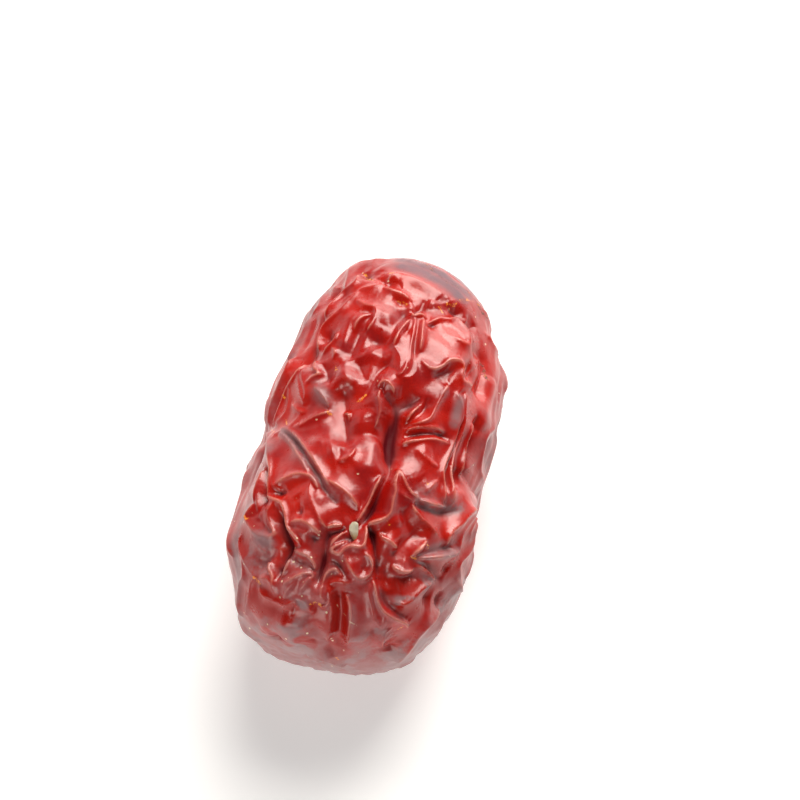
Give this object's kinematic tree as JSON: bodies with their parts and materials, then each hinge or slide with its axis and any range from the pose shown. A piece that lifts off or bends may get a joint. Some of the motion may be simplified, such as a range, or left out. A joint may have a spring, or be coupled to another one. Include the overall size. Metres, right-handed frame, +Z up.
{
  "type": "jujube",
  "caption": "Dried red jujube, a deeply wrinkled oval fruit lying on its side, one natural piece with a stalk cavity at one end.",
  "frame": {"origin": "middle of the fruit's outline from above, on the surface that it lies on", "axes": "+Y along the fruit from the tip towards the stalk end, +X to the right, +Z up"},
  "size_m": [0.0262, 0.0474, 0.0244],
  "materials": {
    "skin": "glossy dark red dried fruit skin"
  },
  "bodies": {
    "root": {"fruit": "skin"}
  },
  "joints": []
}
